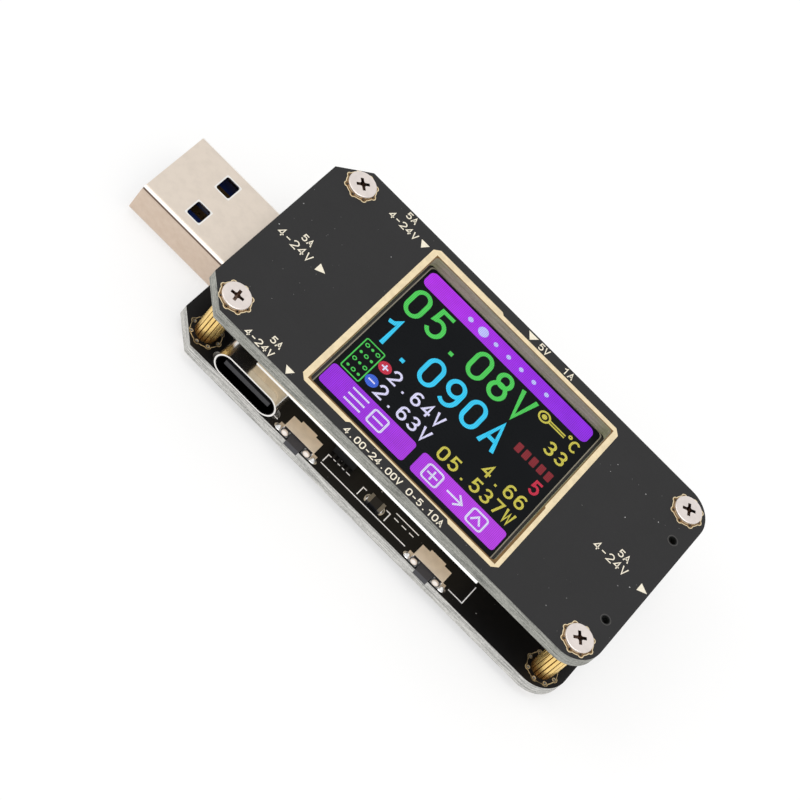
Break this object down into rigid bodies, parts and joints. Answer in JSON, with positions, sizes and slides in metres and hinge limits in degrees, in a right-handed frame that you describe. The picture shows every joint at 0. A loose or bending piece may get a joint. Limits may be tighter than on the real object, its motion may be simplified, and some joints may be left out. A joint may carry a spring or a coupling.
{
  "type": "usb power meter",
  "caption": "Pocket in-line power meter: a small colour display between two boards on brass posts, with a plug at one end, sockets at the other end and on both edges, and side-push buttons.",
  "frame": {"origin": "middle of the footprint, on the plane of the four rear screw heads that the meter rests on", "axes": "+X from the plug to the large socket, +Y to the edge with the micro socket, +Z out of the display"},
  "size_m": [0.0712, 0.0322, 0.011],
  "materials": {
    "solder_mask": "charcoal solder mask on glass-fibre board, satin",
    "brass": "bright machined brass",
    "nickel": "satin nickel plate",
    "black_tape": "thin black adhesive tape",
    "white_plastic": "white moulded display frame",
    "display_glass": "dark display glass with a satin polariser",
    "white_sheet": "off-white reflector sheet",
    "flex_film": "amber polyimide film",
    "pale_plastic": "natural nylon",
    "blue_plastic": "blue moulded insulator",
    "gold_plate": "thin gold plate",
    "black_plastic": "black moulded plastic",
    "button_plastic": "dark grey moulded plastic",
    "chip_resin": "moulded chip resin",
    "resistor_body": "black glass-coated alumina",
    "ceramic_body": "fired ceramic"
  },
  "bodies": {
    "meter": {"front_panel": "solder_mask", "main_board": "solder_mask", "standoffs": "brass", "front_screws": "nickel", "rear_screws": "nickel", "display_tape": "black_tape", "display_frame": "white_plastic", "display_glass": "display_glass", "display_back_sheet": "white_sheet", "display_flex": "flex_film", "display_connector": "pale_plastic", "usb_a_plug_shell": "nickel", "usb_a_plug_insulator": "blue_plastic", "usb_a_plug_contacts": "gold_plate", "usb_a_socket_shell": "nickel", "usb_a_socket_insulator": "black_plastic", "usb_a_socket_contacts": "gold_plate", "usb_c_out_shell": "nickel", "usb_c_out_insert": "black_plastic", "usb_c_out_contacts": "gold_plate", "usb_c_in_shell": "nickel", "usb_c_in_insert": "black_plastic", "usb_c_in_contacts": "gold_plate", "micro_socket_shell": "nickel", "micro_socket_insert": "black_plastic", "micro_socket_contacts": "gold_plate", "switch_bases": "black_plastic", "switch_covers": "nickel", "microcontroller": "chip_resin", "current_sense_chip": "chip_resin", "memory_chip": "chip_resin", "regulator": "chip_resin", "shunt_resistor": "resistor_body", "resistors": "resistor_body", "crystal": "nickel", "inductor": "chip_resin", "capacitors": "ceramic_body"},
    "button_near_left": {"button_near_left": "button_plastic"},
    "button_near_right": {"button_near_right": "button_plastic"},
    "button_far_left": {"button_far_left": "button_plastic"},
    "button_far_right": {"button_far_right": "button_plastic"}
  },
  "joints": [
    {"name": "press_near_left", "type": "slide", "parent": "meter", "child": "button_near_left", "axis": [0, 1, 0], "range_m": [0, 0.00025]},
    {"name": "press_near_right", "type": "slide", "parent": "meter", "child": "button_near_right", "axis": [0, 1, 0], "range_m": [0, 0.00025]},
    {"name": "press_far_left", "type": "slide", "parent": "meter", "child": "button_far_left", "axis": [0, -1, 0], "range_m": [0, 0.00025]},
    {"name": "press_far_right", "type": "slide", "parent": "meter", "child": "button_far_right", "axis": [0, -1, 0], "range_m": [0, 0.00025]}
  ]
}
